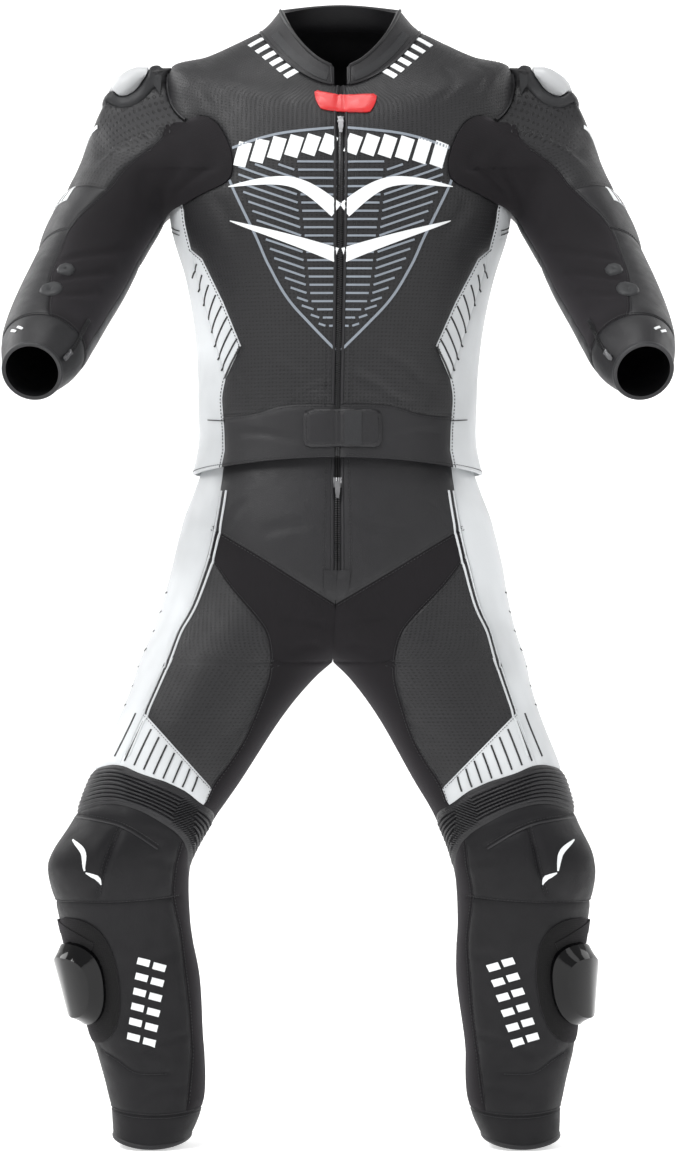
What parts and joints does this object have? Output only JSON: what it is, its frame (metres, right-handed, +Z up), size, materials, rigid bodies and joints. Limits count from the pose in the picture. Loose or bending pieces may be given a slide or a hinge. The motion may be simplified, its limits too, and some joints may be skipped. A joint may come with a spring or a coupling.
{
  "type": "motorcycle race suit",
  "caption": "Hollow two-piece leather race suit in its worn pose: zipped jacket with waist tab, trousers with ribbed knees and knee sliders, hinged zip pulls.",
  "frame": {"origin": "the middle of the neck opening at the height of the collar's seam, where the wearer's neck and shoulders carry the suit", "axes": "+Z up, the chest faces -Y, +X is the wearer's left"},
  "size_m": [0.771, 0.4109, 1.3722],
  "materials": {
    "leather_black": "matt black cowhide, fine grain, partly perforated",
    "leather_white": "smooth white cowhide with a soft sheen",
    "stretch_black": "woven aramid stretch cloth, matt",
    "hook_tape": "woven hook tape, matt",
    "armour_rubber": "matt moulded rubber",
    "cup_plastic": "matt pale grey moulding",
    "puck_plastic": "polished black moulding",
    "label_rubber": "red moulded rubber, satin",
    "zip_metal": "plated zip metal"
  },
  "bodies": {
    "suit": {"chest_label": "label_rubber", "collar": "leather_black", "cuff_zip_left": "zip_metal", "cuff_zip_right": "zip_metal", "fly_tab": "leather_black", "fly_zip": "zip_metal", "jacket_back": "leather_black", "jacket_front_left": "leather_black", "jacket_front_right": "leather_black", "jacket_side_left": "leather_white", "jacket_side_right": "leather_white", "jacket_stripe_panel_left": "leather_white", "jacket_stripe_panel_right": "leather_white", "jacket_waistband_left": "leather_black", "jacket_waistband_right": "leather_black", "leg_accordion_left": "leather_black", "leg_accordion_right": "leather_black", "leg_back_left": "stretch_black", "leg_back_right": "stretch_black", "leg_cuff_left": "leather_black", "leg_cuff_right": "leather_black", "leg_front_left": "leather_black", "leg_front_right": "leather_black", "leg_knee_left": "leather_black", "leg_knee_right": "leather_black", "leg_knee_stripe_left": "leather_white", "leg_knee_stripe_right": "leather_white", "leg_shin_left": "leather_black", "leg_shin_right": "leather_black", "leg_side_left": "leather_white", "leg_side_right": "leather_white", "leg_stretch_left": "stretch_black", "leg_stretch_right": "stretch_black", "leg_thigh_left": "leather_black", "leg_thigh_right": "leather_black", "main_zip": "zip_metal", "shoulder_cup_left": "cup_plastic", "shoulder_cup_right": "cup_plastic", "sleeve_cuff_left": "leather_black", "sleeve_cuff_right": "leather_black", "sleeve_elbow_patch_left": "armour_rubber", "sleeve_elbow_patch_right": "armour_rubber", "sleeve_forearm_left": "leather_black", "sleeve_forearm_right": "leather_black", "sleeve_stretch_left": "stretch_black", "sleeve_stretch_right": "stretch_black", "sleeve_upper_left": "leather_black", "sleeve_upper_right": "leather_black", "slider_base_left": "hook_tape", "slider_base_right": "hook_tape", "slider_puck_left": "puck_plastic", "slider_puck_right": "puck_plastic", "waist_tab": "leather_black"},
    "cuff_zip_pull_left": {"cuff_zip_pull_left": "zip_metal"},
    "cuff_zip_pull_right": {"cuff_zip_pull_right": "zip_metal"},
    "fly_zip_pull": {"fly_zip_pull": "zip_metal"},
    "main_zip_pull": {"main_zip_pull": "zip_metal"}
  },
  "joints": [
    {"name": "cuff_zip_pull_left_hinge", "type": "hinge", "parent": "suit", "child": "cuff_zip_pull_left", "pos_m": [0.3053, -0.263, -0.3593], "axis": [-0.3712, 0.3863, -0.8444], "range_deg": [0, 120]},
    {"name": "cuff_zip_pull_right_hinge", "type": "hinge", "parent": "suit", "child": "cuff_zip_pull_right", "pos_m": [-0.30567, -0.263, -0.3593], "axis": [-0.3712, -0.3863, 0.8444], "range_deg": [0, 120]},
    {"name": "fly_zip_pull_hinge", "type": "hinge", "parent": "suit", "child": "fly_zip_pull", "pos_m": [-0.00085, -0.1146, -0.50065], "axis": [-1, 0, 0], "range_deg": [0, 120]},
    {"name": "main_zip_pull_hinge", "type": "hinge", "parent": "suit", "child": "main_zip_pull", "pos_m": [0.00287, -0.11566, -0.07377], "axis": [-1, 0, 0], "range_deg": [0, 120]}
  ]
}
